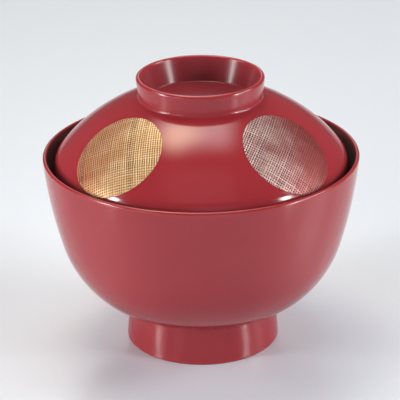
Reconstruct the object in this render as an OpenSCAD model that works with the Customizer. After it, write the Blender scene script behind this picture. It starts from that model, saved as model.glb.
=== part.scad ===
// Lacquer soup bowl with a lid that drops inside the rim and rests on the narrowing wall.
// Bowl and lid are each one turned wooden core, coated in three steps: the outside in red,
// the inside in black, and last the well of the foot or of the knob, by which the piece was held.
// The lid also carries two discs of metal-leafed cloth.
// Every piece but the discs is a section turned round Z. A section's points are [radius, height].
// The origin is the middle of the foot's standing face and the front is -Y.

/* [Bowl] */
// Outer diameter of the rim
rim_d = 120; // [110:1:140]
// Thickness of the wall at the rounded lip
lip_t = 1.6; // [1.5:0.1:2.4]
// Slope of the wall from vertical just under the lip, in degrees
lip_slope_deg = 5.2; // [3:0.2:8]
// Radius of the upper wall's curve
upper_wall_r = 181; // [160:1:220]
// Slope of the wall where the upper curve ends, in degrees
upper_slope_deg = 16; // [15:0.1:18]
// Radius of the belly's curve
belly_r = 41.4; // [39:0.2:45]
// Slope of the wall where the belly ends, in degrees
belly_slope_deg = 44.2; // [41:0.2:48]
// Radius of the underside's curve down to the foot
under_r = 30.8; // [29:0.2:34]
// Thickness of the wall where the lid seats
wall_t = 3.2; // [2.8:0.1:4]
// Thickness of the bowl's floor over the foot well
floor_t = 4.5; // [4:0.1:7]

/* [Foot] */
// Height of the foot ring up to the bowl's underside
foot_h = 15.6; // [13:0.1:18]
// Outer diameter of the foot ring where it stands
foot_d = 59; // [57:0.2:62]
// How far the foot ring spreads on each side from the bowl down to the floor
foot_flare = 1.1; // [0.6:0.1:2]
// Width of the ring that stands
foot_ring_t = 2.8; // [2.2:0.1:3.6]
// Radius of the foot's rounded edges
foot_edge_r = 0.6; // [0.6:0.1:1]
// Draught of the foot well's wall
foot_draught = 0.6; // [0.2:0.1:1]
// Radius of the foot well's corner
foot_well_fillet_r = 1.2; // [0.8:0.1:2]

/* [Lid] */
// Depth under the bowl's rim at which the lid rests
seat_depth = 8.5; // [6:0.5:12]
// Thickness of the lid's rounded lip
lid_lip_t = 2.2; // [1.8:0.1:2.8]
// Height of the lid's straight edge over its seat
lid_edge_h = 3.9; // [2:0.1:6]
// Radius of the lid's shoulder
shoulder_r = 9.9; // [8:0.1:12]
// Radius of the lid's crown
crown_r = 70.4; // [66:0.2:76]

/* [Knob] */
// Outer diameter of the ring knob at its lip
knob_d = 48.3; // [46:0.1:52]
// Outer diameter of the ring knob where it meets the lid
knob_base_d = 46.6; // [44:0.1:48]
// Height of the ring knob over the lid at its base
knob_h = 8.2; // [7:0.1:11]
// Thickness of the knob's rounded lip
knob_lip_t = 2; // [1.6:0.1:2.6]
// Depth of the well inside the knob
knob_well_depth = 9.3; // [7:0.1:10]
// Diameter of the well's floor
knob_floor_d = 38.8; // [34:0.2:40]
// Thickness of the lid under the well's floor
knob_floor_t = 3.6; // [3:0.1:5]
// Radius of the hollow between knob and lid
knob_fillet_r = 1; // [0.6:0.1:1.6]
// Radius of the well's corner
knob_well_fillet_r = 0.8; // [0.6:0.1:1.6]

/* [Roundels] */
// Diameter of each roundel
roundel_d = 35; // [30:0.5:37]
// Height of a roundel over the lacquer
roundel_t = 0.15; // [0.1:0.05:0.3]
// Tilt of both roundels' middles from the lid's axis, in degrees
roundel_tilt_deg = 38; // [36:0.5:42]
// Turn of the gold roundel about the lid's axis, in degrees
gold_turn_deg = -135; // [-150:1:-120]
// Turn of the silver roundel about the lid's axis, in degrees
silver_turn_deg = -43; // [-60:1:-30]

/* [Lacquer and fit] */
// Thickness of every lacquer coat with its ground
lacquer_t = 0.4; // [0.2:0.05:0.55]
// Clearance between the lid's edge and the wall that it rests on
seat_gap = 0.25; // [0.1:0.05:0.4]
// Most that a straight facet of a section may lie off its true curve
facet_gap = 0.03; // [0.02:0.01:0.06]

/* [Hidden] */
turn_fn = 128;

red_lacquer = "#932b34";
black_lacquer = "#171414";
turned_wood = "#b98f62";
gold_cloth = "#c79d60";
silver_cloth = "#bba5a3";

// Plain helpers for sections
function dir(a) = [cos(a), sin(a)];
function lerp(a, b, u) = a + (b - a) * u;
function steps(r, a0, a1) = max(1, ceil(abs(a1 - a0) / (2 * acos(1 - facet_gap / r))));
// An arc of radius r taken at a depth under the surface, with as many points at every depth
function arc(c, r, a0, a1, depth = 0) = let (n = steps(r, a0, a1))
    [for (i = [0:n]) c + (r - depth) * dir(lerp(a0, a1, i / n))];
function reversed(list) = [for (i = [len(list) - 1:-1:0]) list[i]];
function without_first(list) = [for (i = [1:len(list) - 1]) list[i]];

// Bowl: each curve's centre follows from the one above, and the foot's height sets them all
rim_r = rim_d / 2;
lip_r = lip_t / 2;
foot_r = foot_d / 2;
foot_neck_r = foot_r - foot_flare;
upper_offset = (lip_r - upper_wall_r) * dir(-lip_slope_deg);
belly_offset = upper_offset + (upper_wall_r - belly_r) * dir(-upper_slope_deg);
under_offset = belly_offset + (belly_r - under_r) * dir(-belly_slope_deg);
under_x = rim_r - lip_r + under_offset[0];
function foot_slope(depth) = acos((foot_neck_r - depth - under_x) / (under_r - depth));
lip_c = [rim_r - lip_r, foot_h + under_r * sin(foot_slope(0)) - under_offset[1]];
upper_c = lip_c + upper_offset;
belly_c = lip_c + belly_offset;
under_c = lip_c + under_offset;
rim_z = lip_c[1] + lip_r;
foot_well_z = under_c[1] - under_r;
foot_inner_r = foot_r - foot_ring_t;
foot_well_r = foot_inner_r - foot_draught;

// The wall thickens from the lip to the seat, and then slowly down to the floor
seat_z = rim_z - seat_depth;
seat_slope = asin((upper_c[1] - seat_z) / upper_wall_r);
function wall_at(slope) = slope < seat_slope
    ? lerp(lip_t, wall_t, sin(90 * (slope - lip_slope_deg) / (seat_slope - lip_slope_deg)))
    : lerp(wall_t, floor_t, (slope - seat_slope) / (90 - seat_slope));
function cavity_arc(c, r, s0, s1, depth) = let (n = steps(r, s0, s1))
    [for (i = [0:n]) let (s = lerp(s0, s1, i / n)) c + (r - wall_at(s) + depth) * dir(-s)];

// Outside of the bowl, from the inner side of the lip over the wall to the foot's lower edge
function bowl_outside(depth) = concat(
    arc(lip_c, lip_r, 180 - lip_slope_deg, -lip_slope_deg, depth),
    without_first(arc(upper_c, upper_wall_r, -lip_slope_deg, -upper_slope_deg, depth)),
    without_first(arc(belly_c, belly_r, -upper_slope_deg, -belly_slope_deg, depth)),
    without_first(arc(under_c, under_r, -belly_slope_deg, -foot_slope(depth), depth)),
    [[foot_r - depth, foot_edge_r]]);

// Standing face and well of the foot, from its outer edge to the axis
function foot_underside(depth) = concat(
    arc([foot_r - foot_edge_r, foot_edge_r], foot_edge_r, 0, -90, depth),
    arc([foot_inner_r + foot_edge_r, foot_edge_r], foot_edge_r, -90, -180, depth),
    arc([foot_well_r - foot_well_fillet_r, foot_well_z - foot_well_fillet_r], foot_well_fillet_r,
        0, 90, -depth),
    [[0, foot_well_z + depth]]);

// Inside of the bowl, from the inner side of the lip down to the axis
seat_step_count = 8;
function bowl_inside(depth) = concat(
    [for (i = [0:seat_step_count]) let (s = lerp(lip_slope_deg, seat_slope, i / seat_step_count))
        upper_c + (upper_wall_r - wall_at(s) + depth) * dir(-s)],
    without_first(cavity_arc(upper_c, upper_wall_r, seat_slope, upper_slope_deg, depth)),
    without_first(cavity_arc(belly_c, belly_r, upper_slope_deg, belly_slope_deg, depth)),
    without_first(cavity_arc(under_c, under_r, belly_slope_deg, 90, depth)),
    [[0, under_c[1] - under_r + floor_t - depth]]);

// Lid: its edge takes its size and place from the wall that it rests on
seat_r = upper_c[0] + (upper_wall_r - wall_t) * cos(seat_slope);
lid_r = seat_r - seat_gap;
lid_lip_r = lid_lip_t / 2;
lid_lip_c = [lid_r - lid_lip_r, seat_z];
shoulder_c = [lid_r - shoulder_r, seat_z + lid_edge_h];
crown_turn = asin(shoulder_c[0] / (crown_r - shoulder_r));
crown_c = [0, shoulder_c[1] - (crown_r - shoulder_r) * cos(crown_turn)];

// Knob: a leaning wall that a hollow joins to the crown, a rounded lip and a leaning well wall
knob_r = knob_d / 2;
knob_base_r = knob_base_d / 2;
knob_lip_r = knob_lip_t / 2;
knob_base = [knob_base_r, crown_c[1] + sqrt(crown_r * crown_r - knob_base_r * knob_base_r)];
knob_z = knob_base[1] + knob_h;
knob_lip_c = [knob_r - knob_lip_r, knob_z - knob_lip_r];
base_to_lip = knob_lip_c - knob_base;
knob_lean = acos(-knob_lip_r / norm(base_to_lip)) - atan2(base_to_lip[1], base_to_lip[0]);
knob_up = [sin(knob_lean), cos(knob_lean)];
base_to_hollow = knob_base + knob_fillet_r * dir(-knob_lean) - crown_c;
hollow_rise = -base_to_hollow * knob_up + sqrt(pow(base_to_hollow * knob_up, 2)
    - base_to_hollow * base_to_hollow + pow(crown_r + knob_fillet_r, 2));
hollow_c = crown_c + base_to_hollow + hollow_rise * knob_up;
hollow_turn = atan2(hollow_c[1] - crown_c[1], hollow_c[0]);
knob_floor_z = knob_z - knob_well_depth;
well_corner_c = [knob_floor_d / 2 - knob_well_fillet_r, knob_floor_z + knob_well_fillet_r];
corner_to_lip = knob_lip_c - well_corner_c;
well_lean = 180 - acos(-(knob_lip_r + knob_well_fillet_r) / norm(corner_to_lip))
    - atan2(corner_to_lip[1], corner_to_lip[0]);

// The crown and shoulder alone, from the edge up to the knob's hollow
function lid_dome(depth) = concat(
    arc(shoulder_c, shoulder_r, 0, 90 - crown_turn, depth),
    without_first(arc(crown_c, crown_r, 90 - crown_turn, hollow_turn, depth)));

// Outside of the lid, from the inner side of its lip over the dome to the inner side of the knob's lip
function lid_outside(depth) = concat(
    arc(lid_lip_c, lid_lip_r, -180, 0, depth),
    lid_dome(depth),
    without_first(arc(hollow_c, knob_fillet_r, hollow_turn + 180, 180 - knob_lean, -depth)),
    arc(knob_lip_c, knob_lip_r, -knob_lean, 180 - well_lean, depth));

// Well of the knob, from the inner side of its lip to the axis
function knob_well(depth) = concat(
    [knob_lip_c + (knob_lip_r - depth) * dir(180 - well_lean)],
    arc(well_corner_c, knob_well_fillet_r, -well_lean, -90, -depth),
    [[0, knob_floor_z - depth]]);

// Underside of the lid, from the inner side of its lip up to the axis
under_crown_z = knob_floor_z - knob_floor_t;
under_shoulder_r = shoulder_r - lid_lip_t;
under_rise = under_crown_z - shoulder_c[1];
under_crown_r = (pow(shoulder_c[0], 2) + pow(under_rise, 2) - pow(under_shoulder_r, 2))
    / (2 * (under_rise - under_shoulder_r));
under_crown_c = [0, under_crown_z - under_crown_r];
under_turn = asin(shoulder_c[0] / (under_crown_r - under_shoulder_r));
function lid_inside(depth) = concat(
    [[lid_r - lid_lip_t + depth, seat_z]],
    arc(shoulder_c, under_shoulder_r, 0, 90 - under_turn, -depth),
    without_first(arc(under_crown_c, under_crown_r, 90 - under_turn, 90, -depth)));

module turned(section) {
    rotate_extrude($fn = turn_fn) polygon(section);
}

module turned_wood_core(outside, well, inside) {
    color(turned_wood)
        turned(concat(outside, without_first(well), reversed(without_first(inside))));
}

module lacquer_coat(surface, underside, tint) {
    color(tint) turned(concat(surface, reversed(underside)));
}

// A disc on the dome, cut square to the dome at its own middle
module roundel(turn, tint) {
    color(tint) intersection() {
        turned(concat(lid_dome(-roundel_t), reversed(lid_dome(0))));
        translate([0, 0, crown_c[1]]) rotate([0, roundel_tilt_deg, turn])
            cylinder(h = 2 * crown_r, d = roundel_d, $fn = turn_fn);
    }
}

module bowl_core() {
    turned_wood_core(bowl_outside(lacquer_t), foot_underside(lacquer_t), bowl_inside(lacquer_t));
}

module bowl_outer_coat() {
    lacquer_coat(bowl_outside(0), bowl_outside(lacquer_t), red_lacquer);
}

module bowl_lining() {
    lacquer_coat(bowl_inside(0), bowl_inside(lacquer_t), black_lacquer);
}

module foot_coat() {
    lacquer_coat(foot_underside(0), foot_underside(lacquer_t), red_lacquer);
}

module lid_core() {
    turned_wood_core(lid_outside(lacquer_t), knob_well(lacquer_t), lid_inside(lacquer_t));
}

module lid_outer_coat() {
    lacquer_coat(lid_outside(0), lid_outside(lacquer_t), red_lacquer);
}

module lid_lining() {
    lacquer_coat(lid_inside(0), lid_inside(lacquer_t), black_lacquer);
}

module knob_well_coat() {
    lacquer_coat(knob_well(0), knob_well(lacquer_t), red_lacquer);
}

module gold_roundel() {
    roundel(gold_turn_deg, gold_cloth);
}

module silver_roundel() {
    roundel(silver_turn_deg, silver_cloth);
}

bowl_core();
bowl_outer_coat();
bowl_lining();
foot_coat();
lid_core();
lid_outer_coat();
lid_lining();
knob_well_coat();
gold_roundel();
silver_roundel();
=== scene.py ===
import math

import bpy
from mathutils import Matrix, Vector


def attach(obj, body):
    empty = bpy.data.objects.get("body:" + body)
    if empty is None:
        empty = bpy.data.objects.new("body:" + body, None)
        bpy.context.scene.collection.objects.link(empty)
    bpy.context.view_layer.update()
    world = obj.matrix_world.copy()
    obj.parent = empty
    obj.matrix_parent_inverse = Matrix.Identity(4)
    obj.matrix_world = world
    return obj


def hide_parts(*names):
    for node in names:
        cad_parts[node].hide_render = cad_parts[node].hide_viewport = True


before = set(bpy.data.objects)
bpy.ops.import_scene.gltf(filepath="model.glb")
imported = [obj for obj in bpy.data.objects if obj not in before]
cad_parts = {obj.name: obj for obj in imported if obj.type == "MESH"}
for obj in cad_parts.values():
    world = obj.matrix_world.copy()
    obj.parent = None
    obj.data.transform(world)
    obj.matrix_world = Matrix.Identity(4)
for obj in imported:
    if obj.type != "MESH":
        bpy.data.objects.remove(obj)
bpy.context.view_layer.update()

mm = 0.001  # sizes are written in millimetres and become metres where a mesh or a node takes them


def linearColour(hexText):
    def toLinear(part):
        value = int(part, 16) / 255
        return value / 12.92 if value <= 0.04045 else ((value + 0.055) / 1.055) ** 2.4
    return tuple(toLinear(hexText[i:i + 2]) for i in (1, 3, 5)) + (1.0,)


# An input is a plain value, a socket, or a node whose first output is meant
def addNode(tree, kind, inputs=None, **settings):
    node = tree.nodes.new(kind)
    for setting, value in settings.items():
        setattr(node, setting, value)
    for key, value in (inputs or {}).items():
        if isinstance(value, bpy.types.Node):
            value = value.outputs[0]
        if isinstance(value, bpy.types.NodeSocket):
            tree.links.new(value, node.inputs[key])
        else:
            node.inputs[key].default_value = value
    return node


def newFinish(name):
    finish = bpy.data.materials.new(name)
    finish.use_nodes = True
    finish.node_tree.nodes.clear()
    return finish, finish.node_tree


def newTree(name, sockets):
    tree = bpy.data.node_groups.new(name, "GeometryNodeTree")
    tree.interface.new_socket("Geometry", in_out="OUTPUT", socket_type="NodeSocketGeometry")
    tree.interface.new_socket("Geometry", in_out="INPUT", socket_type="NodeSocketGeometry")
    for socketName, socketType in sockets:
        tree.interface.new_socket(socketName, in_out="INPUT", socket_type=socketType)
    return tree, addNode(tree, "NodeGroupInput").outputs


# Runs a tree on an object and leaves its result as the object's own plain mesh
def makeWith(obj, tree, values):
    modifier = obj.modifiers.new(tree.name, "NODES")
    modifier.node_group = tree
    sockets = {item.name: item.identifier for item in tree.interface.items_tree if item.in_out == "INPUT"}
    for socketName, value in values.items():
        modifier[sockets[socketName]] = value
    evaluated = obj.evaluated_get(bpy.context.evaluated_depsgraph_get())
    result = bpy.data.meshes.new_from_object(evaluated)
    obj.modifiers.clear()
    blank = obj.data
    obj.data = result
    bpy.data.meshes.remove(blank)
    result.name = obj.name
    return obj


def addMesh(name, points, edges, faces):
    mesh = bpy.data.meshes.new(name)
    mesh.from_pydata(points, edges, faces)
    obj = bpy.data.objects.new(name, mesh)
    bpy.context.scene.collection.objects.link(obj)
    return obj


# Urushi lacquer with red pigment: many brushed coats, each rubbed down on the lathe, so a hard clear gloss lies over
# a deep saturated red, a little cloudy where the coats differ and thin along the edges, where it is also painted
# lighter and warmer as a painted highlight on the rounded edges. The rings give the radius and the height of each
# edge; the pigment's grain is drawn coarser than the real one, so that it shows.
redUrushi = {
    "deep": "#90272e", "bright": "#9a2c33", "edge": "#9c2e31", "cloudSize": 26, "pigmentSize": 0.7,
    "pigmentShift": 0.03, "roughLow": 0.1, "roughHigh": 0.14, "waveSize": 17, "waveHeight": 0.008, "gloss": 0.5,
    "edgeRings": ((59.2, 75.2), (28.9, 0.6), (23.1, 105.6)), "edgeCore": 0.7, "edgeWidth": 1.5, "edgeWearAndHighlight": 0.6}
# The knob's well is too narrow to be polished as far as the outside, so its gloss is softer and weaker
# its deep and bright reds are darker and more purple than the outside's: painted shade inside the narrow well
shadedWellUrushi = dict(redUrushi, deep="#802d34", bright="#893138", roughLow=0.18, roughHigh=0.23, gloss=0.2)
# The same lacquer coloured with iron: a brownish black, a little softer in its gloss
blackUrushi = {
    "deep": "#383030", "bright": "#443a39", "edge": "#4a3c37", "cloudSize": 30, "pigmentSize": 0.7,
    "pigmentShift": 0.03, "roughLow": 0.14, "roughHigh": 0.2, "waveSize": 17, "waveHeight": 0.01, "gloss": 0.5,
    "edgeRings": ((58.2, 75.2),), "edgeCore": 0.7, "edgeWidth": 1.2, "edgeWearAndHighlight": 0.6}
lacquerIor = 1.5


def urushiFinish(name, look):
    finish, tree = newFinish(name)
    place = addNode(tree, "ShaderNodeTexCoord").outputs["Object"]
    cloud = addNode(tree, "ShaderNodeTexNoise", {
        "Vector": place, "Scale": 1 / (look["cloudSize"] * mm), "Detail": 3.0, "Roughness": 0.55})
    pigment = addNode(tree, "ShaderNodeTexNoise", {
        "Vector": place, "Scale": 1 / (look["pigmentSize"] * mm), "Detail": 1.0})
    xyz = addNode(tree, "ShaderNodeSeparateXYZ", {0: place}).outputs
    flat = addNode(tree, "ShaderNodeCombineXYZ", {"X": xyz["X"], "Y": xyz["Y"]})
    radius = addNode(tree, "ShaderNodeVectorMath", {0: flat}, operation="LENGTH").outputs["Value"]
    section = addNode(tree, "ShaderNodeCombineXYZ", {"X": radius, "Y": xyz["Z"]})
    # nearness to the rounded edges, 1 within edgeCore of an edge and 0 from edgeWidth outward
    nearest = None
    for ringRadius, ringHeight in look["edgeRings"]:
        away = addNode(tree, "ShaderNodeVectorMath", {
            0: section, 1: (ringRadius * mm, ringHeight * mm, 0)}, operation="DISTANCE").outputs["Value"]
        nearest = away if nearest is None else addNode(tree, "ShaderNodeMath", {0: nearest, 1: away},
                                                       operation="MINIMUM")
    edge = addNode(tree, "ShaderNodeMapRange", {
        "Value": nearest, "From Min": look["edgeCore"] * mm, "From Max": look["edgeWidth"] * mm,
        "To Min": 1.0, "To Max": 0.0}, interpolation_type="SMOOTHSTEP")
    body = addNode(tree, "ShaderNodeMix", {
        "Factor": cloud, 6: linearColour(look["deep"]), 7: linearColour(look["bright"])}, data_type="RGBA")
    tone = addNode(tree, "ShaderNodeMapRange", {
        "Value": pigment, "To Min": 1 - look["pigmentShift"], "To Max": 1 + look["pigmentShift"]})
    grained = addNode(tree, "ShaderNodeVectorMath", {0: body.outputs[2], 1: tone}, operation="MULTIPLY")
    # the lighter, warmer edge colour stands for the thin coat and is also a painted highlight on the rounded edges
    wornAndHighlit = addNode(tree, "ShaderNodeMath", {0: edge, 1: look["edgeWearAndHighlight"]}, operation="MULTIPLY")
    colour = addNode(tree, "ShaderNodeMix", {
        "Factor": wornAndHighlit, 6: grained, 7: linearColour(look["edge"])}, data_type="RGBA")
    rough = addNode(tree, "ShaderNodeMapRange", {
        "Value": cloud, "From Min": 0.3, "From Max": 0.7, "To Min": look["roughLow"], "To Max": look["roughHigh"]})
    wave = addNode(tree, "ShaderNodeTexNoise", {
        "Vector": place, "Scale": 1 / (look["waveSize"] * mm), "Detail": 2.0, "Roughness": 0.35})
    bump = addNode(tree, "ShaderNodeBump", {"Height": wave, "Strength": 1.0, "Distance": look["waveHeight"] * mm})
    shader = addNode(tree, "ShaderNodeBsdfPrincipled", {
        "Base Color": colour.outputs[2], "Roughness": rough, "Normal": bump, "IOR": lacquerIor,
        "Specular IOR Level": look["gloss"]})
    addNode(tree, "ShaderNodeOutputMaterial", {"Surface": shader})
    return finish


# Gold or silver leaf laid on coarse hemp cloth that is set in lacquer: satin metal over the raised threads, torn off
# the holes between them, where dark lacquer shows, and rubbed down towards one side, where the red comes through. The
# rubbed side also reaches down over the roundel's lower part and is painted darker there as painted shade. The
# rubbing and its painted shade set in at wholeAt and end at rubbedAndShadedAt, measured along rubAndShadeTowards and
# moved about by rubAndShadeUneven.
goldLeaf = {
    "leaf": "#fadcae", "dull": "#bb8a56", "rubbedAndShaded": "#c07c59", "hollow": "#401309", "rubbedAndShadedHollow": "#5a1d13",
    "bare": 0.5, "covered": 0.66, "roughLow": 0.4, "roughHigh": 0.5, "metal": 0.5, "gloss": 0.2, "mottleSize": 9,
    "threadShare": 0.6, "rubAndShadeTowards": (-1, 0, 0.5), "rubAndShadeUneven": 14, "wholeAt": 67, "rubbedAndShadedAt": 90,
    "wrinkleSize": 0.35, "wrinkleHeight": 0.03}
silverLeaf = {
    "leaf": "#ebcdc6", "dull": "#a07470", "rubbedAndShaded": "#93413d", "hollow": "#2a080d", "rubbedAndShadedHollow": "#561519",
    "bare": 0.5, "covered": 0.66, "roughLow": 0.4, "roughHigh": 0.5, "metal": 0.5, "gloss": 0.2, "mottleSize": 9,
    "threadShare": 0.6, "rubAndShadeTowards": (1, 0, 0.5), "rubAndShadeUneven": 14, "wholeAt": 64, "rubbedAndShadedAt": 85,
    "wrinkleSize": 0.35, "wrinkleHeight": 0.03}


def leafFinish(name, look):
    finish, tree = newFinish(name)
    place = addNode(tree, "ShaderNodeTexCoord").outputs["Object"]
    height = addNode(tree, "ShaderNodeAttribute", attribute_name="threadHeight").outputs["Fac"]
    thread = addNode(tree, "ShaderNodeAttribute", attribute_name="threadTone").outputs["Fac"]
    mottle = addNode(tree, "ShaderNodeTexNoise", {
        "Vector": place, "Scale": 1 / (look["mottleSize"] * mm), "Detail": 4.0, "Roughness": 0.6})
    # each thread is dulled as a whole, and all of them in patches
    uneven = addNode(tree, "ShaderNodeMath", {0: thread, 1: look["threadShare"], 2: mottle},
                     operation="MULTIPLY_ADD")
    dulled = addNode(tree, "ShaderNodeMapRange", {"Value": uneven, "From Min": 0.4, "From Max": 1.2})
    leaf = addNode(tree, "ShaderNodeMix", {
        "Factor": dulled, 6: linearColour(look["leaf"]), 7: linearColour(look["dull"])}, data_type="RGBA")
    aside = addNode(tree, "ShaderNodeVectorMath", {0: place, 1: look["rubAndShadeTowards"]},
                    operation="DOT_PRODUCT").outputs["Value"]
    patchy = addNode(tree, "ShaderNodeMath", {0: mottle, 1: look["rubAndShadeUneven"] * mm, 2: aside},
                     operation="MULTIPLY_ADD")
    patchy = addNode(tree, "ShaderNodeMath", {0: patchy, 1: look["rubAndShadeUneven"] / 2 * mm}, operation="SUBTRACT")
    # this mask marks the rubbed leaf and also painted shade on the roundel's lower part
    rubbedAndShaded = addNode(tree, "ShaderNodeMapRange", {
        "Value": patchy, "From Min": look["wholeAt"] * mm, "From Max": look["rubbedAndShadedAt"] * mm},
        interpolation_type="SMOOTHSTEP")
    # the rubbed colour is darker and redder than the leaf: rubbed leaf, and painted shade where the roundel sits low
    top = addNode(tree, "ShaderNodeMix", {
        "Factor": rubbedAndShaded, 6: leaf.outputs[2], 7: linearColour(look["rubbedAndShaded"])}, data_type="RGBA")
    hollow = addNode(tree, "ShaderNodeMix", {
        "Factor": rubbedAndShaded, 6: linearColour(look["hollow"]), 7: linearColour(look["rubbedAndShadedHollow"])}, data_type="RGBA")
    covered = addNode(tree, "ShaderNodeMapRange", {
        "Value": height, "From Min": look["bare"], "From Max": look["covered"]}, interpolation_type="SMOOTHSTEP")
    colour = addNode(tree, "ShaderNodeMix", {
        "Factor": covered, 6: hollow.outputs[2], 7: top.outputs[2]}, data_type="RGBA")
    rough = addNode(tree, "ShaderNodeMapRange", {
        "Value": mottle, "From Min": 0.3, "From Max": 0.7, "To Min": look["roughLow"], "To Max": look["roughHigh"]})
    metal = addNode(tree, "ShaderNodeMath", {0: covered, 1: look["metal"]}, operation="MULTIPLY")
    wrinkle = addNode(tree, "ShaderNodeTexNoise", {
        "Vector": place, "Scale": 1 / (look["wrinkleSize"] * mm), "Detail": 2.0})
    bump = addNode(tree, "ShaderNodeBump", {
        "Height": wrinkle, "Strength": 1.0, "Distance": look["wrinkleHeight"] * mm})
    shader = addNode(tree, "ShaderNodeBsdfPrincipled", {
        "Base Color": colour.outputs[2], "Metallic": metal, "Roughness": rough, "Normal": bump,
        "Specular IOR Level": look["gloss"]})
    addNode(tree, "ShaderNodeOutputMaterial", {"Surface": shader})
    return finish


# Zelkova turned across the grain: warm brown with darker growth lines and fine pores; it lies under the lacquer.
# The shift, in metres, moves the middle of the log's rings off the bowl; the stretches draw rings and fibres out
# along X.
zelkova = {
    "early": "#c79a68", "late": "#8d5f38", "pore": "#5f3d22", "ringSize": 3.2, "poreSize": 0.5,
    "heartShift": (0, 0.35, -0.11), "ringStretch": (0.12, 1, 1), "fibreStretch": (0.06, 1, 1), "waviness": 2.2,
    "poreFrom": 0.58, "poreFull": 0.7, "poreDark": 0.7, "poreDeep": 0.05, "rough": 0.55, "ior": 1.5}


def zelkovaFinish(name, look):
    finish, tree = newFinish(name)
    place = addNode(tree, "ShaderNodeTexCoord").outputs["Object"]
    plank = addNode(tree, "ShaderNodeMapping", {
        "Vector": place, "Location": look["heartShift"], "Scale": look["ringStretch"]})
    growth = addNode(tree, "ShaderNodeTexWave", {
        "Vector": plank, "Scale": 1 / (2 * look["ringSize"] * mm), "Distortion": look["waviness"], "Detail": 3.0,
        "Detail Scale": 1.5}, wave_type="RINGS", rings_direction="X", wave_profile="SAW")
    fibre = addNode(tree, "ShaderNodeMapping", {"Vector": place, "Scale": look["fibreStretch"]})
    pores = addNode(tree, "ShaderNodeTexNoise", {
        "Vector": fibre, "Scale": 1 / (look["poreSize"] * mm), "Detail": 2.0})
    wood = addNode(tree, "ShaderNodeMix", {
        "Factor": growth, 6: linearColour(look["early"]), 7: linearColour(look["late"])}, data_type="RGBA")
    openPores = addNode(tree, "ShaderNodeMapRange", {
        "Value": pores, "From Min": look["poreFrom"], "From Max": look["poreFull"], "To Max": look["poreDark"]})
    colour = addNode(tree, "ShaderNodeMix", {
        "Factor": openPores, 6: wood.outputs[2], 7: linearColour(look["pore"])}, data_type="RGBA")
    bump = addNode(tree, "ShaderNodeBump", {"Height": pores, "Strength": 0.6, "Distance": -look["poreDeep"] * mm})
    shader = addNode(tree, "ShaderNodeBsdfPrincipled", {
        "Base Color": colour.outputs[2], "Roughness": look["rough"], "Normal": bump, "IOR": look["ior"]})
    addNode(tree, "ShaderNodeOutputMaterial", {"Surface": shader})
    return finish


redLacquer = urushiFinish("redUrushiLacquer", redUrushi)
shadedWellLacquer = urushiFinish("redUrushiLacquerInWell", shadedWellUrushi)
blackLacquer = urushiFinish("blackUrushiLacquer", blackUrushi)
goldCloth = leafFinish("goldLeafOnHempCloth", goldLeaf)
silverCloth = leafFinish("silverLeafOnHempCloth", silverLeaf)
woodFinish = zelkovaFinish("turnedZelkova", zelkova)
print("finishes mixed")


# Lengths are in millimetres, and slopes are in degrees from upright
bowl = {"rimAcross": 120, "lipThick": 1.6, "lipSlope": 5.2, "upperRadius": 181, "upperSlope": 16,
        "bellyRadius": 41.4, "bellySlope": 44.2, "underRadius": 30.8, "wallThick": 3.2, "floorThick": 4.5,
        "footHigh": 15.6, "footAcross": 59, "footFlare": 1.1, "footRing": 2.8, "footEdge": 0.6,
        "footDraught": 0.6, "footWellCorner": 1.2, "footPool": 0.8}
lid = {"seatDepth": 8.5, "lipThick": 2.2, "edgeHigh": 3.9, "shoulderRadius": 9.9, "crownRadius": 70.4,
       "seatGap": 0.25, "knobAcross": 48.3, "knobBaseAcross": 46.6, "knobHigh": 8.2, "knobLipThick": 2,
       "wellDeep": 9.3, "wellFloorAcross": 38.8, "wellFloorThick": 3.6, "knobHollow": 1, "wellCorner": 0.8}
# The steps are in degrees of arc, and a circle smaller than smallRadius takes smallStep times as long ones
turning = {"lacquerThick": 0.4, "cutsAround": 256, "seenStep": 1.4, "hiddenStep": 6.0, "smallRadius": 3,
           "smallStep": 2.5, "crease": 32, "weld": 0.002}


def heading(angle):
    return Vector((math.cos(math.radians(angle)), math.sin(math.radians(angle))))


def blend(a, b, share):
    return a + (b - a) * share


# Points from one angle to another on a circle
def arc(centre, radius, start, end, step):
    if radius < turning["smallRadius"]:
        step = step * turning["smallStep"]
    count = max(2, math.ceil(abs(end - start) / step))
    return [centre + radius * heading(blend(start, end, i / count)) for i in range(count + 1)]


# Every curve's centre follows from the one above it, as on the turner's template
rimRadius = bowl["rimAcross"] / 2
lipRadius = bowl["lipThick"] / 2
footRadius = bowl["footAcross"] / 2
neckRadius = footRadius - bowl["footFlare"]
upperShift = (lipRadius - bowl["upperRadius"]) * heading(-bowl["lipSlope"])
bellyShift = upperShift + (bowl["upperRadius"] - bowl["bellyRadius"]) * heading(-bowl["upperSlope"])
underShift = bellyShift + (bowl["bellyRadius"] - bowl["underRadius"]) * heading(-bowl["bellySlope"])
underX = rimRadius - lipRadius + underShift.x
footSlope = math.degrees(math.acos((neckRadius - underX) / bowl["underRadius"]))
lipCentre = Vector((rimRadius - lipRadius,
                    bowl["footHigh"] + bowl["underRadius"] * math.sin(math.radians(footSlope)) - underShift.y))
upperCentre = lipCentre + upperShift
bellyCentre = lipCentre + bellyShift
underCentre = lipCentre + underShift
rimHigh = lipCentre.y + lipRadius
footWellHigh = underCentre.y - bowl["underRadius"]
footInner = footRadius - bowl["footRing"]
footWellRadius = footInner - bowl["footDraught"]
seatHigh = rimHigh - lid["seatDepth"]
seatSlope = math.degrees(math.asin((upperCentre.y - seatHigh) / bowl["upperRadius"]))


# The wall thickens from lip to seat, and again from seat to floor
def wallAt(slope):
    if slope < seatSlope:
        share = (slope - bowl["lipSlope"]) / (seatSlope - bowl["lipSlope"])
        return blend(bowl["lipThick"], bowl["wallThick"], math.sin(math.radians(90 * share)))
    return blend(bowl["wallThick"], bowl["floorThick"], (slope - seatSlope) / (90 - seatSlope))


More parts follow.
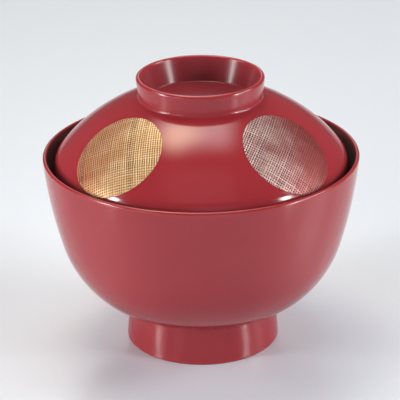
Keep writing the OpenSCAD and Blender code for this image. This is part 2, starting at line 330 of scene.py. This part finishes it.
def cavity(centre, radius, start, end, deep, step):
    count = max(2, math.ceil((end - start) / step))
    slopes = [blend(start, end, i / count) for i in range(count + 1)]
    return [centre + (radius - wallAt(slope) + deep) * heading(-slope) for slope in slopes]


def bowlOutside(deep, step):
    pool = bowl["footPool"] + deep
    poolX = neckRadius + bowl["footPool"]
    reach = bowl["underRadius"] + bowl["footPool"]
    poolCentre = Vector((poolX, underCentre.y - math.sqrt(reach ** 2 - (poolX - underCentre.x) ** 2)))
    toBelly = underCentre - poolCentre
    poolTurn = math.degrees(math.atan2(toBelly.y, toBelly.x))
    sideLean = math.degrees(math.atan2(bowl["footFlare"], poolCentre.y - bowl["footEdge"]))
    return (arc(lipCentre, lipRadius - deep, 180 - bowl["lipSlope"], -bowl["lipSlope"], step)
            + arc(upperCentre, bowl["upperRadius"] - deep, -bowl["lipSlope"], -bowl["upperSlope"], step / 2)[1:]
            + arc(bellyCentre, bowl["bellyRadius"] - deep, -bowl["upperSlope"], -bowl["bellySlope"], step)[1:]
            + arc(underCentre, bowl["underRadius"] - deep, -bowl["bellySlope"], poolTurn - 180, step)[1:]
            + arc(poolCentre, pool, poolTurn, 180 + sideLean, step)[1:]
            + [Vector((footRadius - deep, bowl["footEdge"]))])


def footUnderside(deep, step):
    edge = bowl["footEdge"]
    corner = bowl["footWellCorner"]
    return (arc(Vector((footRadius - edge, edge)), edge - deep, 0, -90, step)
            + arc(Vector((footInner + edge, edge)), edge - deep, -90, -180, step)
            + arc(Vector((footWellRadius - corner, footWellHigh - corner)), corner + deep, 0, 90, step)
            + [Vector((0, footWellHigh + deep))])


def bowlInside(deep, step):
    return (cavity(upperCentre, bowl["upperRadius"], bowl["lipSlope"], seatSlope, deep, step / 4)
            + cavity(upperCentre, bowl["upperRadius"], seatSlope, bowl["upperSlope"], deep, step / 2)[1:]
            + cavity(bellyCentre, bowl["bellyRadius"], bowl["upperSlope"], bowl["bellySlope"], deep, step)[1:]
            + cavity(underCentre, bowl["underRadius"], bowl["bellySlope"], 90, deep, step)[1:]
            + [Vector((0, underCentre.y - bowl["underRadius"] + bowl["floorThick"] - deep))])


# The lid's edge takes its size from the wall that it rests on
seatRadius = upperCentre.x + (bowl["upperRadius"] - bowl["wallThick"]) * math.cos(math.radians(seatSlope))
lidRadius = seatRadius - lid["seatGap"]
lidLipRadius = lid["lipThick"] / 2
lidLipCentre = Vector((lidRadius - lidLipRadius, seatHigh))
shoulderCentre = Vector((lidRadius - lid["shoulderRadius"], seatHigh + lid["edgeHigh"]))
crownReach = lid["crownRadius"] - lid["shoulderRadius"]
crownTurn = math.degrees(math.asin(shoulderCentre.x / crownReach))
crownCentre = Vector((0, shoulderCentre.y - crownReach * math.cos(math.radians(crownTurn))))
knobLipRadius = lid["knobLipThick"] / 2
knobBaseRadius = lid["knobBaseAcross"] / 2
knobBase = Vector((knobBaseRadius, crownCentre.y + math.sqrt(lid["crownRadius"] ** 2 - knobBaseRadius ** 2)))
knobTop = knobBase.y + lid["knobHigh"]
knobLipCentre = Vector((lid["knobAcross"] / 2 - knobLipRadius, knobTop - knobLipRadius))
baseToLip = knobLipCentre - knobBase
knobLean = (math.degrees(math.acos(-knobLipRadius / baseToLip.length))
            - math.degrees(math.atan2(baseToLip.y, baseToLip.x)))
knobUp = Vector((math.sin(math.radians(knobLean)), math.cos(math.radians(knobLean))))
baseToHollow = knobBase + lid["knobHollow"] * heading(-knobLean) - crownCentre
hollowRise = -baseToHollow.dot(knobUp) + math.sqrt(
    baseToHollow.dot(knobUp) ** 2 - baseToHollow.length_squared + (lid["crownRadius"] + lid["knobHollow"]) ** 2)
hollowCentre = crownCentre + baseToHollow + hollowRise * knobUp
hollowTurn = math.degrees(math.atan2(hollowCentre.y - crownCentre.y, hollowCentre.x))
wellFloorHigh = knobTop - lid["wellDeep"]
wellCornerCentre = Vector((lid["wellFloorAcross"] / 2 - lid["wellCorner"], wellFloorHigh + lid["wellCorner"]))
cornerToLip = knobLipCentre - wellCornerCentre
wellLean = (180 - math.degrees(math.acos(-(knobLipRadius + lid["wellCorner"]) / cornerToLip.length))
            - math.degrees(math.atan2(cornerToLip.y, cornerToLip.x)))
underCrownHigh = wellFloorHigh - lid["wellFloorThick"]
underShoulder = lid["shoulderRadius"] - lid["lipThick"]
underRise = underCrownHigh - shoulderCentre.y
underCrownRadius = (shoulderCentre.x ** 2 + underRise ** 2 - underShoulder ** 2) / (2 * (underRise - underShoulder))
underCrownCentre = Vector((0, underCrownHigh - underCrownRadius))
underTurn = math.degrees(math.asin(shoulderCentre.x / (underCrownRadius - underShoulder)))


def lidOutside(deep, step):
    return (arc(lidLipCentre, lidLipRadius - deep, -180, 0, step)
            + arc(shoulderCentre, lid["shoulderRadius"] - deep, 0, 90 - crownTurn, step)
            + arc(crownCentre, lid["crownRadius"] - deep, 90 - crownTurn, hollowTurn, step / 2)[1:]
            + arc(hollowCentre, lid["knobHollow"] + deep, hollowTurn - 180, -180 - knobLean, step)[1:]
            + arc(knobLipCentre, knobLipRadius - deep, -knobLean, 180 - wellLean, step))


def knobWell(deep, step):
    return ([knobLipCentre + (knobLipRadius - deep) * heading(180 - wellLean)]
            + arc(wellCornerCentre, lid["wellCorner"] + deep, -wellLean, -90, step)
            + [Vector((0, wellFloorHigh - deep))])


def lidInside(deep, step):
    return ([Vector((lidRadius - lid["lipThick"] + deep, seatHigh))]
            + arc(shoulderCentre, underShoulder + deep, 0, 90 - underTurn, step)
            + arc(underCrownCentre, underCrownRadius + deep, 90 - underTurn, 90, step / 2)[1:])


# A coat is the band between the surface and the wood under it, as one closed section that runs
# counter-clockwise, so that the turned faces point outward
def coatSection(surface):
    points = surface(0, turning["seenStep"]) + surface(turning["lacquerThick"], turning["hiddenStep"])[::-1]
    points.append(points[0])
    area = sum(a.x * b.y - b.x * a.y for a, b in zip(points, points[1:]))
    return points if area > 0 else points[::-1]


def latheTree():
    tree, given = newTree("turnOnLathe", (
        ("Cuts Around", "NodeSocketInt"), ("Crease", "NodeSocketFloat"), ("Finish", "NodeSocketMaterial")))
    size = addNode(tree, "GeometryNodeAttributeDomainSize", {"Geometry": given["Geometry"]}, component="MESH")
    columns = addNode(tree, "ShaderNodeMath", {0: given["Cuts Around"], 1: 1}, operation="ADD")
    grid = addNode(tree, "GeometryNodeMeshGrid", {
        "Vertices X": columns, "Vertices Y": size.outputs["Point Count"]})
    index = addNode(tree, "GeometryNodeInputIndex")
    column = addNode(tree, "ShaderNodeMath", {0: index, 1: size.outputs["Point Count"]}, operation="DIVIDE")
    column = addNode(tree, "ShaderNodeMath", {0: column}, operation="FLOOR")
    row = addNode(tree, "ShaderNodeMath", {0: index, 1: size.outputs["Point Count"]}, operation="MODULO")
    position = addNode(tree, "GeometryNodeInputPosition")
    point = addNode(tree, "GeometryNodeSampleIndex", {
        "Geometry": given["Geometry"], "Value": position, "Index": row}, data_type="FLOAT_VECTOR", domain="POINT")
    turn = addNode(tree, "ShaderNodeMath", {0: column, 1: given["Cuts Around"]}, operation="DIVIDE")
    turn = addNode(tree, "ShaderNodeMath", {0: turn, 1: math.tau}, operation="MULTIPLY")
    turned = addNode(tree, "ShaderNodeVectorRotate", {"Vector": point, "Angle": turn}, rotation_type="Z_AXIS")
    skin = addNode(tree, "GeometryNodeSetPosition", {"Geometry": grid.outputs["Mesh"], "Position": turned})
    # closes the seam and the poles, and then drops the edge that a pole leaves between two skins
    closed = addNode(tree, "GeometryNodeMergeByDistance", {"Geometry": skin, "Distance": turning["weld"] * mm})
    faces = addNode(tree, "GeometryNodeInputMeshEdgeNeighbors")
    loose = addNode(tree, "FunctionNodeCompare", {2: faces, 3: 0}, data_type="INT", operation="EQUAL")
    clean = addNode(tree, "GeometryNodeDeleteGeometry", {"Geometry": closed, "Selection": loose},
                    domain="EDGE", mode="EDGE_FACE")
    bend = addNode(tree, "GeometryNodeInputMeshEdgeAngle").outputs["Unsigned Angle"]
    soft = addNode(tree, "FunctionNodeCompare", {0: bend, 1: given["Crease"]}, data_type="FLOAT",
                   operation="LESS_THAN")
    smooth = addNode(tree, "GeometryNodeSetShadeSmooth", {"Geometry": clean, "Shade Smooth": True}, domain="FACE")
    creased = addNode(tree, "GeometryNodeSetShadeSmooth", {"Geometry": smooth, "Shade Smooth": soft}, domain="EDGE")
    real = addNode(tree, "GeometryNodeRealizeInstances", {0: creased})
    finished = addNode(tree, "GeometryNodeSetMaterial", {"Geometry": real, "Material": given["Finish"]})
    addNode(tree, "NodeGroupOutput", {"Geometry": finished})
    return tree


lathe = latheTree()


def turnPiece(name, surface, finish, body, slot, *nodes):
    points = [(p.x * mm, 0, p.y * mm) for p in coatSection(surface)]
    edges = [(i, i + 1) for i in range(len(points) - 1)]
    piece = makeWith(addMesh(name, points, edges, []), lathe, {
        "Cuts Around": turning["cutsAround"], "Crease": math.radians(turning["crease"]), "Finish": finish})
    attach(piece, body)
    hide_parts(*nodes)
    print("turned", name, len(piece.data.polygons), "faces")
    return piece


turnPiece("bowlRedLacquer", bowlOutside, redLacquer, "bowl", "red_lacquer", "bowl_outer_coat")
turnPiece("bowlBlackLining", bowlInside, blackLacquer, "bowl", "black_lacquer", "bowl_lining")
turnPiece("footRedLacquer", footUnderside, redLacquer, "bowl", "red_lacquer", "foot_coat")
lidSkin = turnPiece("lidRedLacquer", lidOutside, redLacquer, "lid", "red_lacquer", "lid_outer_coat")
turnPiece("lidBlackLining", lidInside, blackLacquer, "lid", "black_lacquer", "lid_lining")
turnPiece("knobWellRedLacquer", knobWell, shadedWellLacquer, "lid", "red_lacquer", "knob_well_coat")

for nodeName in ("bowl_core", "lid_core"):
    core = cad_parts[nodeName]
    core.data.materials.clear()
    core.data.materials.append(woodFinish)
print("cores given their wood")


# Lengths are in millimetres, the threads' widths are shares of their spacing, and tilt and turns are in degrees
roundels = {"across": 35, "tilt": 38, "cells": 280, "underCells": 28, "warpSpacing": 0.88, "weftSpacing": 1.0,
            "warpWidth": 0.61, "weftWidth": 0.58, "widthSpread": 0.22, "thinShare": 0.2, "thinner": 0.24,
            "relief": 0.13, "ground": 0.03, "unevenness": 0.26}
goldRoundel = {"turn": -135, "clothTurn": 34, "seed": 3}
silverRoundel = {"turn": -43, "clothTurn": 121, "seed": 8}
# How each thread runs, in shares of its spacing, and how high warp and weft ride, in shares of the relief. The width
# of the sealed edge, the sinking of the underside and the height that the cloth is laid down from are in millimetres.
# The layers and seedStep only keep one noise apart from the next.
weave = {"wanderAcross": 0.55, "wanderAlong": 0.06, "wanderMost": 1.5, "slubAlong": 0.22, "slubMost": 0.1,
         "warpLevel": 0.8, "warpSwing": 0.18, "weftLevel": 0.72, "weftSwing": 0.2, "sealLevel": 0.5, "sealFull": 0.1,
         "sealEnd": 0.5, "sunk": 0.05, "laidFrom": 120, "seedStep": 17.3, "warpLayer": 0.0, "weftLayer": 31.0}


# A flat disc whose upper face is a fine grid and whose underside is a coarse one with the same rim.
# The upper face is marked by z = 1 and the underside by z = 0.
def clothBlank(name, radius, cells, underCells):
    ratio = cells // underCells

    def onDisc(i, j, level):
        x = 2 * i / cells - 1
        y = 2 * j / cells - 1
        return (radius * x * math.sqrt(1 - y * y / 2), radius * y * math.sqrt(1 - x * x / 2), level)

    points = [onDisc(i, j, 1) for i in range(cells + 1) for j in range(cells + 1)]
    faces = []
    for i in range(cells):
        for j in range(cells):
            first = i * (cells + 1) + j
            faces.append((first, first + cells + 1, first + cells + 2, first + 1))
    under = {}

    def underPoint(i, j):
        if (i, j) not in under:
            under[i, j] = len(points)
            points.append(onDisc(i, j, 0))
        return under[i, j]

    rim = ([(i, 0) for i in range(cells)] + [(cells, j) for j in range(cells)]
           + [(i, cells) for i in range(cells, 0, -1)] + [(0, j) for j in range(cells, 0, -1)])
    for (i, j), (nextI, nextJ) in zip(rim, rim[1:] + rim[:1]):
        faces.append((underPoint(i, j), underPoint(nextI, nextJ), nextI * (cells + 1) + nextJ,
                      i * (cells + 1) + j))
    for a in range(0, cells, ratio):
        for b in range(0, cells, ratio):
            low = [(i, b) for i in range(a, a + ratio)] if b == 0 else [(a, b)]
            right = [(a + ratio, j) for j in range(b, b + ratio)] if a + ratio == cells else [(a + ratio, b)]
            high = ([(i, b + ratio) for i in range(a + ratio, a, -1)] if b + ratio == cells
                    else [(a + ratio, b + ratio)])
            left = [(a, j) for j in range(b + ratio, b, -1)] if a == 0 else [(a, b + ratio)]
            faces.append(tuple(underPoint(i, j) for i, j in (low + right + high + left)[::-1]))
    return addMesh(name, points, [], faces)


def clothTree():
    tree, given = newTree("laidHempCloth", (
        ("Dome", "NodeSocketObject"), ("Dome Centre", "NodeSocketVector"), ("Tilt", "NodeSocketFloat"),
        ("Turn", "NodeSocketFloat"), ("Cloth Turn", "NodeSocketFloat"), ("Warp Spacing", "NodeSocketFloat"),
        ("Weft Spacing", "NodeSocketFloat"), ("Warp Width", "NodeSocketFloat"), ("Weft Width", "NodeSocketFloat"),
        ("Width Spread", "NodeSocketFloat"), ("Thin Share", "NodeSocketFloat"), ("Thinner", "NodeSocketFloat"),
        ("Relief", "NodeSocketFloat"), ("Ground", "NodeSocketFloat"), ("Unevenness", "NodeSocketFloat"),
        ("Seed", "NodeSocketInt"), ("Radius", "NodeSocketFloat"), ("Finish", "NodeSocketMaterial")))
    position = addNode(tree, "GeometryNodeInputPosition")
    flat = addNode(tree, "ShaderNodeSeparateXYZ", {0: position}).outputs
    upper = flat["Z"]
    # lays each point along the disc's own axis on the dome
    facing = addNode(tree, "ShaderNodeCombineXYZ", {"Y": given["Tilt"], "Z": given["Turn"]})
    above = addNode(tree, "ShaderNodeCombineXYZ", {"X": flat["X"], "Y": flat["Y"], "Z": weave["laidFrom"] * mm})
    above = addNode(tree, "ShaderNodeVectorRotate", {"Vector": above, "Rotation": facing}, rotation_type="EULER_XYZ")
    source = addNode(tree, "ShaderNodeVectorMath", {0: above, 1: given["Dome Centre"]}, operation="ADD")
    inward = addNode(tree, "ShaderNodeVectorRotate", {"Vector": (0, 0, -1), "Rotation": facing},
                     rotation_type="EULER_XYZ")
    dome = addNode(tree, "GeometryNodeObjectInfo", {"Object": given["Dome"]}, transform_space="ORIGINAL")
    laid = addNode(tree, "GeometryNodeRaycast", {
        "Target Geometry": dome.outputs["Geometry"], "Source Position": source, "Ray Direction": inward,
        "Ray Length": weave["laidFrom"] * mm})
    # threads: along X of the turned cloth runs the warp, along Y the weft
    back = addNode(tree, "ShaderNodeMath", {0: given["Cloth Turn"], 1: -1}, operation="MULTIPLY")
    onCloth = addNode(tree, "ShaderNodeVectorRotate", {"Vector": position, "Angle": back}, rotation_type="Z_AXIS")
    cloth = addNode(tree, "ShaderNodeSeparateXYZ", {0: onCloth}).outputs
    seedShift = addNode(tree, "ShaderNodeMath", {0: given["Seed"], 1: weave["seedStep"]}, operation="MULTIPLY")
    threads = {}
    for thread, across, along, layer in (("Warp", cloth["Y"], cloth["X"], weave["warpLayer"]),
                                         ("Weft", cloth["X"], cloth["Y"], weave["weftLayer"])):
        spacing = given[thread + " Spacing"]
        # the threads wander slowly along their length, and their spacing differs from one to the next
        acrossShare = addNode(tree, "ShaderNodeMath", {0: across, 1: spacing}, operation="DIVIDE")
        alongShare = addNode(tree, "ShaderNodeMath", {0: along, 1: spacing}, operation="DIVIDE")
        near = addNode(tree, "ShaderNodeMath", {0: acrossShare, 1: weave["wanderAcross"]},
                       operation="MULTIPLY")
        far = addNode(tree, "ShaderNodeMath", {0: alongShare, 1: weave["wanderAlong"]}, operation="MULTIPLY")
        wanderPlace = addNode(tree, "ShaderNodeCombineXYZ", {"X": near, "Y": far, "Z": seedShift})
        wander = addNode(tree, "ShaderNodeTexNoise", {"Vector": wanderPlace, "Scale": 1.0, "Detail": 1.0})
        shift = addNode(tree, "ShaderNodeMapRange", {
            "Value": wander, "To Min": -weave["wanderMost"], "To Max": weave["wanderMost"]})
        shifted = addNode(tree, "ShaderNodeMath", {0: shift, 1: given["Unevenness"], 2: acrossShare},
                          operation="MULTIPLY_ADD")
        number = addNode(tree, "ShaderNodeMath", {0: shifted}, operation="FLOOR")
        offCentre = addNode(tree, "ShaderNodeMath", {0: shifted, 1: number}, operation="SUBTRACT")
        offCentre = addNode(tree, "ShaderNodeMath", {0: offCentre, 1: 0.5}, operation="SUBTRACT")
        numbered = addNode(tree, "ShaderNodeMath", {0: number, 1: seedShift}, operation="ADD")
        own = addNode(tree, "ShaderNodeTexWhiteNoise", {"W": numbered}, noise_dimensions="1D").outputs["Value"]
        # slubs: each thread swells and thins along its length
        slubFar = addNode(tree, "ShaderNodeMath", {0: alongShare, 1: weave["slubAlong"]}, operation="MULTIPLY")
        slubPlace = addNode(tree, "ShaderNodeCombineXYZ", {"X": numbered, "Y": slubFar, "Z": layer})
        slub = addNode(tree, "ShaderNodeTexNoise", {"Vector": slubPlace, "Scale": 1.0, "Detail": 2.0})
        width = addNode(tree, "ShaderNodeMath", {0: own, 1: given["Width Spread"], 2: given[thread + " Width"]},
                        operation="MULTIPLY_ADD")
        # a few threads are much thinner and leave open lines beside them
        thin = addNode(tree, "ShaderNodeMath", {0: own, 1: given["Thin Share"]}, operation="LESS_THAN")
        thin = addNode(tree, "ShaderNodeMath", {0: thin, 1: given["Thinner"]}, operation="MULTIPLY")
        width = addNode(tree, "ShaderNodeMath", {0: width, 1: thin}, operation="SUBTRACT")
        swell = addNode(tree, "ShaderNodeMapRange", {
            "Value": slub, "From Min": 0.25, "From Max": 0.75, "To Min": -weave["slubMost"],
            "To Max": weave["slubMost"]})
        width = addNode(tree, "ShaderNodeMath", {0: width, 1: swell}, operation="ADD")
        # the thread's round back: 1 along its middle and 0 at half its width
        reach = addNode(tree, "ShaderNodeMath", {0: offCentre, 1: width}, operation="DIVIDE")
        reach = addNode(tree, "ShaderNodeMath", {0: reach, 1: reach}, operation="MULTIPLY")
        roundness = addNode(tree, "ShaderNodeMath", {0: reach, 1: -4.0, 2: 1.0}, operation="MULTIPLY_ADD")
        roundness = addNode(tree, "ShaderNodeMath", {0: roundness, 1: 0.0}, operation="MAXIMUM")
        roundness = addNode(tree, "ShaderNodeMath", {0: roundness, 1: 0.5}, operation="POWER")
        threads[thread] = {"shifted": shifted, "number": number, "own": own, "body": roundness}
    # over and under: each thread rises over every second one that it crosses
    for thread, other, phase, level, swing in (
            ("Warp", "Weft", -0.5, weave["warpLevel"], weave["warpSwing"]),
            ("Weft", "Warp", 0.5, weave["weftLevel"], weave["weftSwing"])):
        steps = addNode(tree, "ShaderNodeMath", {0: threads[other]["shifted"], 1: threads[thread]["number"]},
                        operation="ADD")
        steps = addNode(tree, "ShaderNodeMath", {0: steps, 1: phase}, operation="ADD")
        steps = addNode(tree, "ShaderNodeMath", {0: steps, 1: math.pi}, operation="MULTIPLY")
        rise = addNode(tree, "ShaderNodeMath", {0: steps}, operation="COSINE")
        lift = addNode(tree, "ShaderNodeMath", {0: rise, 1: swing, 2: level}, operation="MULTIPLY_ADD")
        threads[thread]["height"] = addNode(tree, "ShaderNodeMath", {0: lift, 1: threads[thread]["body"]},
                                            operation="MULTIPLY")
    height = addNode(tree, "ShaderNodeMath", {0: threads["Warp"]["height"], 1: threads["Weft"]["height"]},
                     operation="MAXIMUM")
    warpOver = addNode(tree, "ShaderNodeMath", {0: threads["Warp"]["height"], 1: threads["Weft"]["height"]},
                       operation="GREATER_THAN")
    tone = addNode(tree, "ShaderNodeMix", {
        0: warpOver, 2: threads["Weft"]["own"], 3: threads["Warp"]["own"]}, data_type="FLOAT")
    # the cut edge is sealed with lacquer, which fills the last hollows
    level = addNode(tree, "ShaderNodeCombineXYZ", {"X": flat["X"], "Y": flat["Y"]})
    outward = addNode(tree, "ShaderNodeVectorMath", {0: level}, operation="LENGTH").outputs["Value"]
    inside = addNode(tree, "ShaderNodeMath", {0: given["Radius"], 1: outward}, operation="SUBTRACT")
    sealed = addNode(tree, "ShaderNodeMapRange", {
        "Value": inside, "From Min": weave["sealFull"] * mm, "From Max": weave["sealEnd"] * mm,
        "To Min": weave["sealLevel"], "To Max": 0.0})
    height = addNode(tree, "ShaderNodeMath", {0: height, 1: sealed}, operation="MAXIMUM")
    proud = addNode(tree, "ShaderNodeMath", {0: height, 1: given["Relief"], 2: given["Ground"]},
                    operation="MULTIPLY_ADD")
    proud = addNode(tree, "ShaderNodeMath", {0: proud, 1: upper}, operation="MULTIPLY")
    # the underside, where z is 0, lies a little inside the dome's lacquer
    sunk = addNode(tree, "ShaderNodeMath", {0: upper, 1: 1}, operation="SUBTRACT")
    proud = addNode(tree, "ShaderNodeMath", {0: sunk, 1: weave["sunk"] * mm, 2: proud}, operation="MULTIPLY_ADD")
    offset = addNode(tree, "ShaderNodeVectorMath", {0: inward, "Scale": proud}, operation="SCALE")
    target = addNode(tree, "ShaderNodeVectorMath", {0: laid.outputs["Hit Position"], 1: offset},
                     operation="SUBTRACT")
    kept = addNode(tree, "GeometryNodeStoreNamedAttribute", {
        "Geometry": given["Geometry"], "Name": "threadHeight", "Value": height}, data_type="FLOAT", domain="POINT")
    kept = addNode(tree, "GeometryNodeStoreNamedAttribute", {
        "Geometry": kept, "Name": "threadTone", "Value": tone}, data_type="FLOAT", domain="POINT")
    woven = addNode(tree, "GeometryNodeSetPosition", {"Geometry": kept, "Position": target})
    smooth = addNode(tree, "GeometryNodeSetShadeSmooth", {"Geometry": woven, "Shade Smooth": True}, domain="FACE")
    real = addNode(tree, "GeometryNodeRealizeInstances", {0: smooth})
    finished = addNode(tree, "GeometryNodeSetMaterial", {"Geometry": real, "Material": given["Finish"]})
    addNode(tree, "NodeGroupOutput", {"Geometry": finished})
    return tree


clothOnDome = clothTree()


def layRoundel(name, own, finish, node):
    radius = roundels["across"] / 2 * mm
    piece = makeWith(clothBlank(name, radius, roundels["cells"], roundels["underCells"]), clothOnDome, {
        "Dome": lidSkin, "Dome Centre": (0, 0, crownCentre.y * mm), "Tilt": math.radians(roundels["tilt"]),
        "Turn": math.radians(own["turn"]), "Cloth Turn": math.radians(own["clothTurn"]),
        "Warp Spacing": roundels["warpSpacing"] * mm, "Weft Spacing": roundels["weftSpacing"] * mm,
        "Warp Width": roundels["warpWidth"], "Weft Width": roundels["weftWidth"],
        "Width Spread": roundels["widthSpread"], "Thin Share": roundels["thinShare"], "Thinner": roundels["thinner"],
        "Relief": roundels["relief"] * mm, "Ground": roundels["ground"] * mm,
        "Unevenness": roundels["unevenness"], "Seed": own["seed"], "Radius": radius, "Finish": finish})
    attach(piece, "lid")
    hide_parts(node)
    print("laid", name, len(piece.data.polygons), "faces")


layRoundel("goldClothRoundel", goldRoundel, goldCloth, "gold_roundel")
layRoundel("silverClothRoundel", silverRoundel, silverCloth, "silver_roundel")


# The room is in metres. The camera was fitted to the photo's ellipses: it looks at the target from the front, and
# then swing, lift and roll turn it by these degrees.
studio = {"floorHalf": 4, "floorColour": "#dce2ea", "floorRough": 0.26, "floorIor": 1.5, "paperShift": 0.01,
          "worldColour": "#e6e9ee", "worldStrength": 0.15, "target": (0, 0, 0.048), "lampDistance": 1.3,
          "cameraDistance": 0.7623419, "cameraElevation": 23.4909, "swing": -0.0449639, "lift": 0.5392048,
          "roll": -0.629278, "lens": 178.343, "sensor": 36, "nearest": 0.01}
# radiance is that of the brightest part; soft is the share of the half width, and of the half height, that fades
softboxes = {
    "leftLow": {"azimuth": 203, "elevation": 7, "size": (0.64, 0.4), "radiance": 20.0, "soft": (0.6, 0.7)},
    "leftStrip": {"azimuth": 200, "elevation": 19, "size": (0.25, 0.36), "radiance": 57.0, "soft": (0.9, 0.9)},
    "leftTail": {"azimuth": 230, "elevation": 8, "size": (0.7, 0.36), "radiance": 6.0, "soft": (0.9, 0.7)},
    "leftHigh": {"azimuth": 184, "elevation": 32, "size": (0.8, 0.6), "radiance": 5.0, "soft": (0.8, 0.8)},
    "rightLow": {"azimuth": 338, "elevation": 7, "size": (0.62, 0.4), "radiance": 11.5, "soft": (0.6, 0.7)},
    "rightStrip": {"azimuth": 337, "elevation": 19, "size": (0.26, 0.36), "radiance": 60.0, "soft": (0.9, 0.9)},
    "rightHigh": {"azimuth": 1, "elevation": 30, "size": (0.8, 0.6), "radiance": 13.0, "soft": (0.8, 0.8)},
    "backBank": {"azimuth": 93, "elevation": 36, "size": (0.5, 1.0), "radiance": 2.5, "soft": (0.8, 0.6)},
    "topBank": {"azimuth": 97, "elevation": 71, "size": (1.05, 1.15), "radiance": 4.3, "soft": (0.6, 0.8)},
    "topLeft": {"azimuth": 128, "elevation": 72, "size": (0.75, 0.7), "radiance": 5.4, "soft": (0.9, 0.9),
                "colour": "#ffe6a8"},
    "frontFill": {"azimuth": 278, "elevation": 24, "size": (1.2, 0.7), "radiance": 0.3, "soft": (0.8, 0.8)},
    "frontTop": {"azimuth": 268, "elevation": 64, "size": (1.3, 0.9), "radiance": 0.26, "soft": (0.6, 0.6)}}


def buildStage():
    half = studio["floorHalf"]
    floor = addMesh("studioFloor", [(-half, -half, 0), (half, -half, 0), (half, half, 0), (-half, half, 0)], [],
                    [(0, 1, 2, 3)])
    paper, tree = newFinish("backdropPaper")
    place = addNode(tree, "ShaderNodeTexCoord").outputs["Object"]
    fibre = addNode(tree, "ShaderNodeTexNoise", {"Vector": place, "Scale": 2.0, "Detail": 2.0})
    tone = addNode(tree, "ShaderNodeMapRange", {
        "Value": fibre, "To Min": 1 - studio["paperShift"], "To Max": 1 + studio["paperShift"]})
    colour = addNode(tree, "ShaderNodeVectorMath", {0: linearColour(studio["floorColour"])[:3], 1: tone},
                     operation="MULTIPLY")
    shader = addNode(tree, "ShaderNodeBsdfPrincipled", {
        "Base Color": colour, "Roughness": studio["floorRough"], "IOR": studio["floorIor"]})
    addNode(tree, "ShaderNodeOutputMaterial", {"Surface": shader})
    floor.data.materials.append(paper)

    world = bpy.data.worlds.new("studioRoom")
    world.use_nodes = True
    tree = world.node_tree
    tree.nodes.clear()
    background = addNode(tree, "ShaderNodeBackground", {
        "Color": linearColour(studio["worldColour"]), "Strength": studio["worldStrength"]})
    addNode(tree, "ShaderNodeOutputWorld", {"Surface": background})
    bpy.context.scene.world = world


def placeOn(azimuth, elevation, distance):
    level = math.cos(math.radians(elevation)) * distance
    return Vector((level * math.cos(math.radians(azimuth)), level * math.sin(math.radians(azimuth)),
                   math.sin(math.radians(elevation)) * distance)) + Vector(studio["target"])


def addSoftbox(name, box):
    light = bpy.data.lights.new(name, "AREA")
    light.shape = "RECTANGLE"
    light.size, light.size_y = box["size"]
    light.energy = box["radiance"] * math.pi * box["size"][0] * box["size"][1]
    light.color = linearColour(box.get("colour", "#ffffff"))[:3]
    light.use_nodes = True
    tree = light.node_tree
    tree.nodes.clear()
    # the cloth in front of a lamp is brightest in its middle and fades to its borders
    spot = addNode(tree, "ShaderNodeSeparateXYZ", {0: addNode(tree, "ShaderNodeNewGeometry").outputs["Parametric"]})
    strength = None
    for axis, soft in zip("XY", box["soft"]):
        share = addNode(tree, "ShaderNodeMath", {0: spot.outputs[axis], 1: 0.5}, operation="SUBTRACT")
        share = addNode(tree, "ShaderNodeMath", {0: share}, operation="ABSOLUTE")
        fade = addNode(tree, "ShaderNodeMapRange", {
            "Value": share, "From Min": 0.5 * (1 - soft), "From Max": 0.5, "To Min": 1.0, "To Max": 0.0},
            interpolation_type="SMOOTHSTEP")
        strength = fade if strength is None else addNode(tree, "ShaderNodeMath", {0: strength, 1: fade},
                                                         operation="MULTIPLY")
    glow = addNode(tree, "ShaderNodeEmission", {"Strength": strength})
    addNode(tree, "ShaderNodeOutputLight", {"Surface": glow})
    lamp = bpy.data.objects.new(name, light)
    lamp.location = placeOn(box["azimuth"], box["elevation"], studio["lampDistance"])
    lamp.rotation_euler = (lamp.location - Vector(studio["target"])).to_track_quat("Z", "Y").to_euler()
    lamp.visible_camera = False
    bpy.context.scene.collection.objects.link(lamp)


def addCamera():
    target = Vector(studio["target"])
    place = placeOn(-90, studio["cameraElevation"], studio["cameraDistance"])
    ahead = (target - place).normalized()
    right = Vector((1, 0, 0))
    up = right.cross(ahead)
    ahead = (ahead + math.tan(math.radians(studio["swing"])) * right
             + math.tan(math.radians(studio["lift"])) * up).normalized()
    right = ahead.cross(up).normalized()
    up = right.cross(ahead)
    roll = math.radians(studio["roll"])
    across = right * math.cos(roll) + up * math.sin(roll)
    upward = up * math.cos(roll) - right * math.sin(roll)
    lens = bpy.data.cameras.new("photoCamera")
    lens.sensor_width = studio["sensor"]
    lens.lens = studio["lens"]
    lens.clip_start = studio["nearest"]
    camera = bpy.data.objects.new("photoCamera", lens)
    camera.matrix_world = Matrix((across, upward, -ahead)).transposed().to_4x4()
    camera.location = place
    bpy.context.scene.collection.objects.link(camera)
    bpy.context.scene.camera = camera


buildStage()
for boxName, box in softboxes.items():
    addSoftbox(boxName, box)
addCamera()
bpy.context.scene.view_settings.view_transform = "Standard"
print("studio lit")

bpy.context.view_layer.update()
